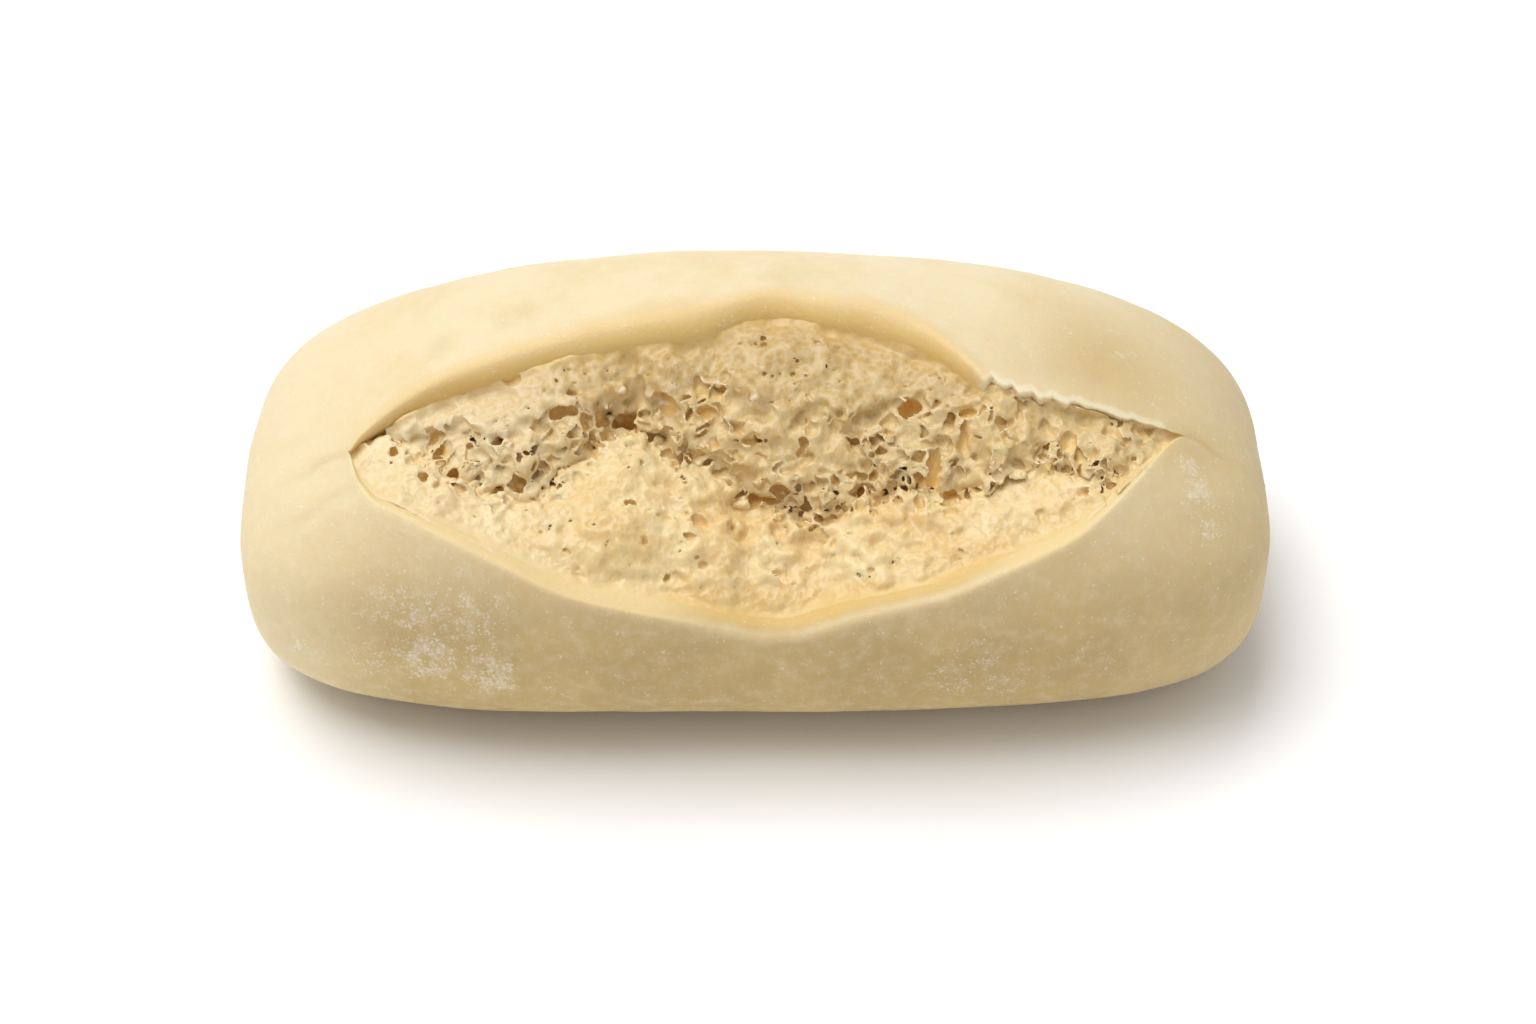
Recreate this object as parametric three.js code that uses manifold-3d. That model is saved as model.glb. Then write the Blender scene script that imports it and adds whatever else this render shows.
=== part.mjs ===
// A pale, soft-crusted bread roll, torn open along its front and crown so that the crumb shows.
// Millimetres. X runs along the roll, -Y is its front, +Z is up.
// The origin is on the flat resting face, under the middle of the roll.

import * as THREE from "three";
import { mergeVertices } from "three/addons/utils/BufferGeometryUtils.js";
import Module from "manifold-3d";

// The whole roll.
const LENGTH = 140;
const HALF_WIDTH = 35;
const HEIGHT = 50.5;
const AXIS_HEIGHT = 22; // the height at which the roll is widest
const SOLE_SINK = 1; // how far the round underside is pressed flat
const END_TAPER = -0.02; // the right end is this much slimmer, as a share of the width

// How square the roll is: 2 is an ellipse, and higher is squarer.
const FRONT_PLAN = 3.9;
const BACK_PLAN = 4.0;
const CROWN_SIDE = 2.0;
const SOLE_SIDE = 6.5;
const UPPER_SECTION = 2.2;
const LOWER_SECTION = 2.6;

// The split. Each point is [place along the roll, angle round it]: 0 degrees is the front and 90 the crown.
const UPPER_LIP = [
  [-60, 65.5], [-53.7, 66], [-52.4, 68.5], [-49, 73], [-43, 78.3], [-31, 83.5], [-20.5, 87], [-7.3, 90],
  [2.7, 95], [9.9, 92.7], [16.7, 91], [22, 87.5], [26, 82.5], [29.7, 77], [34, 75.5], [45.6, 73.3],
  [57.3, 73.5], [63, 73.5],
];
const LOWER_LIP = [
  [-60, 65.5], [-53.7, 66], [-52.2, 57], [-50.3, 50.7], [-46.2, 44.9], [-39.5, 36.1], [-33, 28.1],
  [-25.3, 18.9], [-17.4, 13.8], [-7.1, 9.4], [2.1, 5.6], [5.8, 6.2], [12.3, 10.6], [18.8, 14.2],
  [25.3, 18.1], [31.6, 24.3], [36.9, 29.9], [42.2, 37.1], [46.2, 45.3], [50.5, 56.1],
  [57.3, 73.5], [63, 73.5],
];
const CREVICE = [
  [-60, 65.5], [-53.7, 66], [-51.7, 69], [-45.7, 64.8], [-41.8, 56.9], [-36.2, 47.6], [-27, 45.8],
  [-22.5, 55], [-19.8, 67.5], [-15.4, 70.3], [-11.4, 56.6], [-5.4, 52.4], [-1.6, 38.2], [3.3, 36],
  [8, 30.7], [12.9, 38.8], [19.8, 42.6], [26.4, 40.9], [33.3, 52.3], [38.8, 57.2], [42.4, 53.5],
  [45.3, 52.3], [49.8, 59.1], [55.4, 70], [57.3, 73.5], [63, 73.5],
];
const WIDEST_SPLIT = 88; // degrees, at the middle
const CRUMB_RADIUS = 30; // from the roll's axis to the crumb, roughly
const LOWER_STEP = 1.3; // from the lower lip down to the bed of crumb
const UPPER_STEP = 2.7; // from the upper lip down to the wall of crumb
const TORN_LIP_STEP = 1.2; // the same at the right, where the upper lip is a thin torn edge
const TORN_LIP_FROM = [27, 33]; // it turns from rounded to torn over this run
const STEP_WIDTH = 1.5; // how wide the slope of a lip's inner side is
const BED_FALL = 12.5; // how much deeper the bed lies at the crevice
const BED_CURVE = 0.7; // under 1 the bed falls steeply behind its lip, then levels out
const WALL_FALL = 10.5;
const WALL_CURVE = 1.25;
const LIP_SWELL = 0.7; // how far a lip stands proud of the crust beside it
const LIP_SWELL_WIDTH = 3.5;

// The crevice between wall and bed, which runs in and up under the wall.
const CREVICE_MOUTH = 2.0;
const CREVICE_PROUD = 4; // the cutter starts this far outside the crumb
const CREVICE_DEPTH = 3.2;
const CREVICE_RISE = 32; // degrees, above the way straight in
const CREVICE_STATIONS = 46;
const CREVICE_FROM = -47;
const CREVICE_TO = 54;

// Pores that show most: [place along the roll, angle round it, half length, half height, depth].
const BIG_PORES = [
  [20.4, 71.8, 1.7, 1.9, 2.2], // the round hole in the wall
  [-25.5, 71.7, 2.1, 1.5, 1.6],
  [-16.2, 71.5, 2.8, 1.5, 2.6], // the cave above the crevice
  [-20.6, 70.7, 1.5, 1.2, 1.6],
  [-12.2, 73.1, 2.2, 1.9, 1.6],
  [-32.9, 80.9, 1.9, 0.9, 1.0],
  [-10.2, 17.5, 1.7, 1.3, 1.3], // the oval hole in the bed
  [-2.9, 13.3, 0.9, 0.8, 1.0],
  [3.3, 14.7, 1.3, 1.0, 0.8],
  [-7.2, 32.8, 1.5, 1.2, 1.2],
  [37.0, 38.0, 0.8, 1.3, 1.2],
  [23.6, 51.3, 1.3, 2.6, 1.8],
  [47.0, 68.5, 1.8, 1.7, 1.5],
  [-39.1, 52.2, 1.5, 1.1, 1.4],
  [38.9, 66.9, 1.2, 1.6, 1.5],
];
const SMALL_PORES = 26;
const SMALL_PORE_RADIUS = [0.75, 1.5];
const PORE_SEED = 11;

// Soft dents in the crust: [place along the roll, angle round it, half width in mm, depth].
const DENTS = [
  [43, 83, 4, 0.5], [24, 104, 6, 0.5], [-58, 62, 3.5, 0.9], [-57, 36, 6, 0.7], [61, 66, 4, 0.9],
  [60, 42, 6, 0.7], [-30, 112, 9, 0.6], [12, 150, 11, 0.7], [-14, 172, 10, 0.6], [36, 168, 9, 0.5],
  [-44, 148, 8, 0.7],
];
const LUMP_SIZE = 21; // spacing of the slow swells of the crust
const LUMP_HEIGHT = 0.45;
const CRAG_SIZE = 4.2; // spacing of the lumps of the crumb
const CRAG_HEIGHT = 0.9;
const CRAG_FULL_DEPTH = 4; // crumb this deep or deeper has crags of full height
const SOLE_FADE = [2, 10]; // relief dies away between these heights above the floor
const END_FADE = 12; // and within this distance of the axis, at the ends

// The grid that the roll's skin is drawn on.
const STATIONS = 74;
const SPLIT_COLUMNS = 20;
const CRUST_COLUMNS = 24;
const NARROWEST_SPLIT = 9; // degrees kept for the split's columns past its ends

const RADIANS = Math.PI / 180;
const HALF_LENGTH = LENGTH / 2;

const clamp = (value, low, high) => Math.min(Math.max(value, low), high);
const ease = (share) => {
  const s = clamp(share, 0, 1);
  return s * s * (3 - 2 * s);
};

// A smooth curve through [x, y] points.
function through(points, x) {
  const last = points.length - 1;
  const at = clamp(x, points[0][0], points[last][0]);
  let i = 0;
  while (i < last - 1 && points[i + 1][0] < at) i += 1;
  const slope = (k) => {
    const before = points[Math.max(k - 1, 0)];
    const after = points[Math.min(k + 1, last)];
    return (after[1] - before[1]) / (after[0] - before[0]);
  };
  const [x0, y0] = points[i];
  const [x1, y1] = points[i + 1];
  const step = x1 - x0;
  const t = (at - x0) / step;
  const t2 = t * t;
  const t3 = t2 * t;
  return (
    (2 * t3 - 3 * t2 + 1) * y0 + (t3 - 2 * t2 + t) * step * slope(i) +
    (3 * t2 - 2 * t3) * y1 + (t3 - t2) * step * slope(i + 1)
  );
}

// Seeded random numbers from 0 to 1, in order.
function seeded(seed) {
  let state = seed >>> 0;
  return () => {
    state = (Math.imul(state, 1664525) + 1013904223) >>> 0;
    return state / 4294967296;
  };
}

// A random number from -1 to 1 for each whole-numbered place.
function grain(i, j, k) {
  let h = Math.imul(i, 374761393) ^ Math.imul(j, 668265263) ^ Math.imul(k, 2147483553);
  h = Math.imul(h ^ (h >>> 13), 1274126177);
  return ((h ^ (h >>> 16)) >>> 0) / 2147483648 - 1;
}

// Smooth noise from -1 to 1: the grains at a cell's eight corners, eased into each other.
function noise(x, y, z) {
  const [i, j, k] = [x, y, z].map(Math.floor);
  const [u, v, w] = [ease(x - i), ease(y - j), ease(z - k)];
  const mix = (a, b, t) => a + (b - a) * t;
  const row = (dj, dk) => mix(grain(i, j + dj, k + dk), grain(i + 1, j + dj, k + dk), u);
  return mix(mix(row(0, 0), row(1, 0), v), mix(row(0, 1), row(1, 1), v), w);
}

// The section's shares of full size at a place along the roll, which close to nothing at the ends.
function endCap(x, squareness) {
  return Math.pow(Math.max(1 - Math.pow(Math.abs(x / HALF_LENGTH), squareness), 0), 1 / squareness);
}

// The roll's surface as if it had never split, with its underside still round.
function wholeSkin(x, angle) {
  const taper = 1 + END_TAPER * (x / HALF_LENGTH);
  const c = Math.cos(angle * RADIANS);
  const s = Math.sin(angle * RADIANS);
  const section = s >= 0 ? UPPER_SECTION : LOWER_SECTION;
  const reach = HALF_WIDTH * taper * endCap(x, c >= 0 ? FRONT_PLAN : BACK_PLAN);
  const rise = s >= 0
    ? (HEIGHT - AXIS_HEIGHT) * endCap(x, CROWN_SIDE)
    : (AXIS_HEIGHT + SOLE_SINK) * endCap(x, SOLE_SIDE);
  return new THREE.Vector3(
    x,
    -Math.sign(c) * reach * Math.pow(Math.abs(c), 2 / section),
    AXIS_HEIGHT + Math.sign(s) * rise * Math.pow(Math.abs(s), 2 / section),
  );
}

// How far the split stands open, from 0 past its ends to 1 at its widest.
function openness(x) {
  const gap = through(UPPER_LIP, x) - through(LOWER_LIP, x);
  return Math.pow(clamp(gap / WIDEST_SPLIT, 0, 1), 0.8);
}

// 0 where the upper lip is rounded, 1 where it is a thin torn edge.
function tornShare(x) {
  const [from, to] = TORN_LIP_FROM;
  return ease((x - from) / (to - from));
}

// How deep the crumb lies under the unbroken skin: the bed falls from the lower lip and the wall
// from the upper one.
function crumbDepth(x, angle) {
  const low = through(LOWER_LIP, x);
  const high = through(UPPER_LIP, x);
  if (angle <= low || angle >= high) return 0;
  const crevice = clamp(through(CREVICE, x), low, high);
  const open = openness(x);
  const edge = Math.min(1, 2 * open);
  if (angle < crevice) {
    const share = (angle - low) / Math.max(crevice - low, 1e-3);
    const step = ease(((angle - low) * RADIANS * CRUMB_RADIUS) / STEP_WIDTH);
    return LOWER_STEP * edge * step + BED_FALL * open * open * Math.pow(share, BED_CURVE);
  }
  const share = (high - angle) / Math.max(high - crevice, 1e-3);
  const step = ease(((high - angle) * RADIANS * CRUMB_RADIUS) / STEP_WIDTH);
  const upperStep = UPPER_STEP + (TORN_LIP_STEP - UPPER_STEP) * tornShare(x);
  return upperStep * edge * step + WALL_FALL * open * open * Math.pow(share, WALL_CURVE);
}

// How far the crust swells along the lips and sinks in its dents.
function crustRelief(x, angle, place) {
  const open = Math.min(1, 2 * openness(x));
  const [low, high] = [through(LOWER_LIP, x), through(UPPER_LIP, x)];
  const past = Math.max(low - angle, angle - high);
  const beside = (past * RADIANS * CRUMB_RADIUS) / LIP_SWELL_WIDTH;
  const proud = angle > (low + high) / 2 ? 1 - 0.75 * tornShare(x) : 1;
  const swell = past < -0.01 ? 0 : proud * Math.exp(-beside * beside);
  const dents = DENTS.reduce((sum, [dx, da, width, deep]) => {
    const away = Math.hypot(x - dx, (angle - da) * RADIANS * CRUMB_RADIUS) / width;
    return sum + deep * Math.exp(-away * away);
  }, 0);
  const lumps = noise(place.x / LUMP_SIZE, place.y / LUMP_SIZE, place.z / LUMP_SIZE);
  return LIP_SWELL * open * swell - dents + LUMP_HEIGHT * lumps;
}

// Crumb is lumpier the deeper it lies.
function crumbRelief(depth, place) {
  const crags = noise(place.x / CRAG_SIZE + 7.3, place.y / CRAG_SIZE, place.z / CRAG_SIZE);
  return CRAG_HEIGHT * ease(depth / CRAG_FULL_DEPTH) * crags;
}

// A point of the finished surface: sunk towards the axis by its depth, and never below the floor.
function surface(x, angle) {
  const place = wholeSkin(x, angle);
  const axis = new THREE.Vector3(x, 0, AXIS_HEIGHT);
  const out = place.clone().sub(axis);
  const reach = out.length();
  if (reach < 1e-6) return place;
  const depth = crumbDepth(x, angle);
  const sole = ease((place.z - SOLE_FADE[0]) / (SOLE_FADE[1] - SOLE_FADE[0]));
  const relief = (depth > 0 ? crumbRelief(depth, place) : crustRelief(x, angle, place)) * sole;
  const fade = Math.min(1, reach / END_FADE);
  place.copy(axis).addScaledVector(out, 1 + ((relief - depth) * fade) / reach);
  place.z = Math.max(place.z, 0);
  return place;
}

// The angles of a ring's columns: closer together at the lips, where the surface steps down.
function ringAngles(x) {
  const middle = (through(UPPER_LIP, x) + through(LOWER_LIP, x)) / 2;
  const half = Math.max(through(UPPER_LIP, x) - through(LOWER_LIP, x), NARROWEST_SPLIT) / 2;
  const angles = [];
  for (let i = 0; i < SPLIT_COLUMNS; i += 1) {
    const even = (2 * i) / SPLIT_COLUMNS - 1;
    const share = even * (1.25 - 0.25 * even * even); // crowds the columns towards both lips
    angles.push(middle + half * share);
  }
  for (let i = 0; i < CRUST_COLUMNS; i += 1) {
    angles.push(middle + half + ((360 - 2 * half) * i) / CRUST_COLUMNS);
  }
  return angles;
}

const wrapped = (angle) => (angle > 270 ? angle - 360 : angle);

// Rings of points joined into one closed skin, with a point at each end.
function loft(rings, first, last) {
  const columns = rings[0].length;
  const points = [first, ...rings.flat(), last];
  const faces = [];
  const at = (ring, column) => 1 + ring * columns + (column % columns);
  for (let c = 0; c < columns; c += 1) {
    faces.push(0, at(0, c), at(0, c + 1));
    faces.push(points.length - 1, at(rings.length - 1, c + 1), at(rings.length - 1, c));
    for (let r = 0; r < rings.length - 1; r += 1) {
      faces.push(at(r, c), at(r + 1, c), at(r + 1, c + 1));
      faces.push(at(r, c), at(r + 1, c + 1), at(r, c + 1));
    }
  }
  const geometry = new THREE.BufferGeometry().setFromPoints(points);
  geometry.setIndex(faces);
  return geometry;
}

function rollGeometry() {
  const rings = [];
  for (let i = 1; i < STATIONS; i += 1) {
    const x = -HALF_LENGTH * Math.cos((Math.PI * i) / STATIONS);
    rings.push(ringAngles(x).map((angle) => surface(x, wrapped(angle))));
  }
  const tip = (x) => new THREE.Vector3(x, 0, AXIS_HEIGHT);
  return loft(rings, tip(-HALF_LENGTH), tip(HALF_LENGTH));
}

// The cutter for the crevice: at each station a wedge whose mouth straddles the crevice line and whose
// edge lies deep under the wall. Random widths give its rims their torn teeth.
function creviceGeometry() {
  const random = seeded(PORE_SEED + 1);
  const rings = [];
  for (let i = 0; i <= CREVICE_STATIONS; i += 1) {
    const x = CREVICE_FROM + ((CREVICE_TO - CREVICE_FROM) * i) / CREVICE_STATIONS;
    const open = openness(x) * Math.min(1, (CREVICE_STATIONS - i) / 3, i / 3 + 0.1);
    const angle = through(CREVICE, x);
    const mouth = surface(x, angle);
    const axis = new THREE.Vector3(x, 0, AXIS_HEIGHT);
    const outward = mouth.clone().sub(axis).normalize();
    const upward = new THREE.Vector3(0, outward.z, -outward.y); // round the roll, towards the crown
    const inward = outward.clone().multiplyScalar(-Math.cos(CREVICE_RISE * RADIANS));
    inward.addScaledVector(upward, Math.sin(CREVICE_RISE * RADIANS));
    const torn = (least, most) => CREVICE_MOUTH * (least + (most - least) * random()) * (0.3 + 0.7 * open);
    const below = torn(0.15, 0.65);
    const above = torn(0.15, 0.85);
    const deep = CREVICE_DEPTH * (0.35 + 0.65 * open) * (0.8 + 0.4 * random());
    const spread = (along, across) => {
      return mouth.clone().addScaledVector(inward, along).addScaledVector(upward, across);
    };
    rings.push([
      spread(-CREVICE_PROUD, -below * 1.6),
      spread(-CREVICE_PROUD, above * 1.2),
      spread(deep * 0.5, above * 0.8),
      spread(deep, 0.25),
      spread(deep * 0.5, -below * 0.7),
    ]);
  }
  const ends = [rings[0], rings[rings.length - 1]].map((ring) =>
    ring.reduce((sum, point) => sum.add(point), new THREE.Vector3()).divideScalar(ring.length),
  );
  return loft(rings, ends[0], ends[1]);
}

// One pore: a rounded hole whose long sides lie along and round the roll.
function poreGeometry([x, angle, halfLength, halfHeight, depth]) {
  const mouth = surface(x, angle);
  const outward = mouth.clone().sub(new THREE.Vector3(x, 0, AXIS_HEIGHT)).normalize();
  const upward = new THREE.Vector3(0, outward.z, -outward.y);
  const turn = new THREE.Matrix4().makeBasis(new THREE.Vector3(1, 0, 0), outward, upward.negate());
  return new THREE.IcosahedronGeometry(1, 1)
    .scale(halfLength, depth, halfHeight)
    .applyMatrix4(turn)
    .translate(mouth.x, mouth.y, mouth.z);
}

// The smaller pores, scattered by a seeded rule: most lie on the wall, and there they are pulled long.
function smallPores() {
  const random = seeded(PORE_SEED);
  const [least, most] = SMALL_PORE_RADIUS;
  return Array.from({ length: SMALL_PORES }, () => {
    const x = -46 + 98 * random();
    const onWall = random() < 0.72;
    const share = random();
    const low = through(LOWER_LIP, x);
    const high = through(UPPER_LIP, x);
    const crevice = clamp(through(CREVICE, x), low, high);
    const wallAngle = crevice + (0.1 + 0.62 * share) * (high - crevice);
    const bedAngle = low + (0.3 + 0.6 * share) * (crevice - low);
    const radius = (least + (most - least) * random() ** 2) * (0.6 + 0.4 * openness(x));
    return [x, onWall ? wallAngle : bedAngle, radius * 0.85, radius * (onWall ? 1.35 : 0.9), radius * 0.9];
  });
}

const wasm = await Module();
wasm.setup();

function solidOf(geometry) {
  const bare = geometry.clone();
  bare.deleteAttribute("normal");
  bare.deleteAttribute("uv");
  const merged = mergeVertices(bare, 1e-4);
  return new wasm.Manifold(
    new wasm.Mesh({
      numProp: 3,
      vertProperties: new Float32Array(merged.attributes.position.array),
      triVerts: new Uint32Array(merged.index.array),
    }),
  );
}

function geometryOf(solid) {
  const mesh = solid.getMesh();
  const geometry = new THREE.BufferGeometry();
  geometry.setAttribute("position", new THREE.BufferAttribute(new Float32Array(mesh.vertProperties), 3));
  geometry.setIndex(new THREE.BufferAttribute(new Uint32Array(mesh.triVerts), 1));
  geometry.computeVertexNormals();
  return geometry;
}

function breadRoll() {
  const cutters = [creviceGeometry(), ...[...BIG_PORES, ...smallPores()].map(poreGeometry)];
  const body = solidOf(rollGeometry());
  const cut = cutters.reduce((left, cutter) => left.subtract(solidOf(cutter)), body);
  const whole = cut.decompose().sort((a, b) => b.volume() - a.volume())[0]; // drops crumbs cut loose
  const dough = new THREE.MeshStandardMaterial({ color: "#ecd9ab", roughness: 0.72, metalness: 0 });
  const roll = new THREE.Mesh(geometryOf(whole), dough);
  roll.name = "bread_roll";
  return roll;
}

const object = new THREE.Group();
object.add(breadRoll());
export default object;
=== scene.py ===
import math
import time

import bpy
import numpy as np
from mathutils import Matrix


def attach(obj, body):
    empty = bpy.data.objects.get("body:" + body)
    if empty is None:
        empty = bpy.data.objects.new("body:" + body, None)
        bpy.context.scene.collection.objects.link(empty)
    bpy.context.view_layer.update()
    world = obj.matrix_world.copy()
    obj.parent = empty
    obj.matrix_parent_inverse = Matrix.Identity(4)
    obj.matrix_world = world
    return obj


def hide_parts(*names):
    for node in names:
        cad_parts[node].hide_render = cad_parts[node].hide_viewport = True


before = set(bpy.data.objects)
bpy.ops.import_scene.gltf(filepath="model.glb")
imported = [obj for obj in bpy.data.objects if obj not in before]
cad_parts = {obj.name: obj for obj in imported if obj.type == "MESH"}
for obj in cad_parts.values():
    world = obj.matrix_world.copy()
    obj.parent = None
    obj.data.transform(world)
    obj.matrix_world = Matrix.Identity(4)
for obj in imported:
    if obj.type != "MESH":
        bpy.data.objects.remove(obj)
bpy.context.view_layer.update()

started = time.time()


def report(stage):
    print(f"{time.time() - started:6.1f} s  {stage}", flush=True)


# The roll's form. Lengths are in millimetres and angles in degrees, with 0 at the front and 90 at the crown.
roll = {
    "halfLength": 70.0,
    "halfWidth": 35.0,
    "height": 50.5,
    "axisHeight": 22.0,
    "soleSink": 1.0,  # how far the round underside is pressed flat
    "endTaper": -0.02,
    "frontPlan": 3.9,  # squareness: 2 is an ellipse, higher is squarer
    "backPlan": 4.0,
    "crownSide": 2.0,
    "soleSide": 6.5,
    "upperSection": 2.2,
    "lowerSection": 2.6,
}

# The split. Each point is [place along the roll, angle round it].
split = {
    "upperLip": [
        [-60, 65.5], [-53.7, 66], [-52.4, 68.5], [-49, 73], [-43, 78.3], [-31, 83.5], [-20.5, 87], [-7.3, 90],
        [2.7, 95], [9.9, 92.7], [16.7, 91], [22, 87.5], [26, 82.5], [29.7, 77], [34, 75.5], [45.6, 73.3],
        [57.3, 73.5], [63, 73.5],
    ],
    "lowerLip": [
        [-60, 65.5], [-53.7, 66], [-52.2, 57], [-50.3, 50.7], [-46.2, 44.9], [-39.5, 36.1], [-33, 28.1],
        [-25.3, 18.9], [-17.4, 13.8], [-7.1, 9.4], [2.1, 5.6], [5.8, 6.2], [12.3, 10.6], [18.8, 14.2],
        [25.3, 18.1], [31.6, 24.3], [36.9, 29.9], [42.2, 37.1], [46.2, 45.3], [50.5, 56.1], [57.3, 73.5],
        [63, 73.5],
    ],
    "crevice": [
        [-60, 65.5], [-53.7, 66], [-51.7, 69], [-45.7, 64.8], [-41.8, 56.9], [-36.2, 47.6], [-27, 45.8],
        [-22.5, 55], [-19.8, 67.5], [-15.4, 70.3], [-11.4, 56.6], [-5.4, 52.4], [-1.6, 38.2], [3.3, 36],
        [8, 30.7], [12.9, 38.8], [19.8, 42.6], [26.4, 40.9], [33.3, 52.3], [38.8, 57.2], [42.4, 53.5],
        [45.3, 52.3], [49.8, 59.1], [55.4, 70], [57.3, 73.5], [63, 73.5],
    ],
    "tornLine": [  # below it the wall of crumb is torn into open cells
        [-60, 69], [-49.2, 71.4], [-43.7, 67], [-38.8, 70.6], [-32.9, 64.2], [-29.7, 65.3], [-25.8, 74],
        [-21.2, 69], [-17.5, 77], [-12.4, 74.6], [-6.5, 78.9], [-0.5, 71.1], [9.3, 70.4], [16, 69.7],
        [20, 74.9], [26.2, 71.2], [31.3, 78], [38, 78], [45.6, 76], [52, 75], [63, 76],
    ],
    "widest": 88.0,
    "crumbRadius": 30.0,  # from the roll's axis to the crumb, roughly
    "lowerStep": 1.3,  # from the lower lip down to the bed of crumb
    "upperStep": [2.7, 0.5],  # from the upper lip down to the wall of crumb: where it is rounded, and torn
    "stepWidth": 1.5,
    "tornFrom": [27.0, 33.0],  # over this run the upper lip turns from a rounded one into a thin torn edge
    "lowerSkin": [0.62, 0.95],  # the crumb starts this far under the lower lip: where it is rough, and smooth
    "tornSkin": 0.45,
    "smoothFrom": [-16.0, -4.0],  # the smooth groove behind the lower lip starts over this run
    "smoothTo": [26.0, 38.0],
    "bedFall": 12.5,  # how much deeper the bed lies at the crevice
    "bedCurve": 0.7,  # under 1 the bed falls steeply behind the lip, then levels out
    "wallFall": 10.5,
    "wallCurve": 1.25,
    "tornStep": 0.9,  # by which the wall drops at its torn line
    "tornStepLoss": 0.7,  # how much of that drop is missing where the upper lip is thin
    "tornWidth": 0.8,
    "underLips": 0.8,  # steepness at which the crumb dives out of sight
}


def ease(share):
    # a smooth step: three times the square less twice the cube
    s = np.clip(share, 0, 1)
    return s * s * (3 - 2 * s)


def between(pair, share):
    return pair[0] + (pair[1] - pair[0]) * share


def over(pair, value):
    # a smooth step from 0 at the pair's first value to 1 at its second
    return ease((value - pair[0]) / (pair[1] - pair[0]))


def through(points, x):
    # a smooth curve through [x, y] points: cubic pieces whose slopes are the means of their neighbours'
    xs, ys = np.array(points, float).T
    slope = np.gradient(ys, xs)
    x = np.clip(x, xs[0], xs[-1])
    i = np.clip(np.searchsorted(xs, x) - 1, 0, len(xs) - 2)
    step = xs[i + 1] - xs[i]
    t = (x - xs[i]) / step
    start = (2 * t**3 - 3 * t**2 + 1) * ys[i] + (t**3 - 2 * t**2 + t) * step * slope[i]
    return start + (3 * t**2 - 2 * t**3) * ys[i + 1] + (t**3 - t**2) * step * slope[i + 1]


def softNoise(points, spacing, seed):
    # smooth noise from -1 to 1: random values at the corners of cells, eased into each other
    rng = np.random.default_rng(seed)
    size = 40
    values = rng.uniform(-1, 1, (size, size, size)).astype(np.float32)
    place = points / spacing + 500.37
    cell = np.floor(place).astype(np.int64)
    u, v, w = np.moveaxis(ease(place - cell), -1, 0)
    i, j, k = np.moveaxis(cell % size, -1, 0)
    ni, nj, nk = (i + 1) % size, (j + 1) % size, (k + 1) % size

    def row(a, b):
        return values[i, a, b] * (1 - u) + values[ni, a, b] * u

    near = row(j, k) * (1 - v) + row(nj, k) * v
    far = row(j, nk) * (1 - v) + row(nj, nk) * v
    return near * (1 - w) + far * w


def halfSizes(x):
    # the section's reach to the front and the back, and above and below the axis: full size times a cap
    t = np.clip(x / roll["halfLength"], -1, 1)
    taper = 1 + roll["endTaper"] * t

    def cap(squareness):
        return np.maximum(1 - np.abs(t) ** squareness, 1e-9) ** (1 / squareness)

    front = roll["halfWidth"] * taper * cap(roll["frontPlan"])
    back = roll["halfWidth"] * taper * cap(roll["backPlan"])
    above = (roll["height"] - roll["axisHeight"]) * cap(roll["crownSide"])
    below = (roll["axisHeight"] + roll["soleSink"]) * cap(roll["soleSide"])
    return front, back, above, below


def wholeSkin(x, angle):
    # the surface as if it had never split: a rounded box section whose sides follow powers of sine and cosine
    front, back, above, below = halfSizes(x)
    c, s = np.cos(np.radians(angle)), np.sin(np.radians(angle))
    power = np.where(s >= 0, 2 / roll["upperSection"], 2 / roll["lowerSection"])
    y = np.where(c >= 0, -front, back) * np.abs(c) ** power
    z = np.where(s >= 0, above, -below) * np.abs(s) ** power
    return y, z + roll["axisHeight"]


def openness(x):
    # how far the split stands open, from 0 past its ends to 1 at its widest
    gap = through(split["upperLip"], x) - through(split["lowerLip"], x)
    return np.clip(gap / split["widest"], 0, 1) ** 0.8


arcPerDegree = split["crumbRadius"] * math.pi / 180  # millimetres of surface for each degree


def splitLines(x):
    # the angles of the lower lip, the upper lip, the crevice and the torn line at each place along the roll
    return [through(split[name], x) for name in ("lowerLip", "upperLip", "crevice", "tornLine")]


def gridLines(x):
    # the same for a grid of points whose first axis runs along the roll
    return [line[:, None, None].astype(np.float32) for line in splitLines(x)]


def tornShare(x):
    # 0 where the upper lip is rounded, 1 at the right where it is a thin torn edge
    return over(split["tornFrom"], x)


def smoothShare(x):
    # 1 where the lower lip has a smooth groove behind it, 0 where crumb is rough right up to the crust
    return over(split["smoothFrom"], x) * over(split["smoothTo"][::-1], x)


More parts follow.
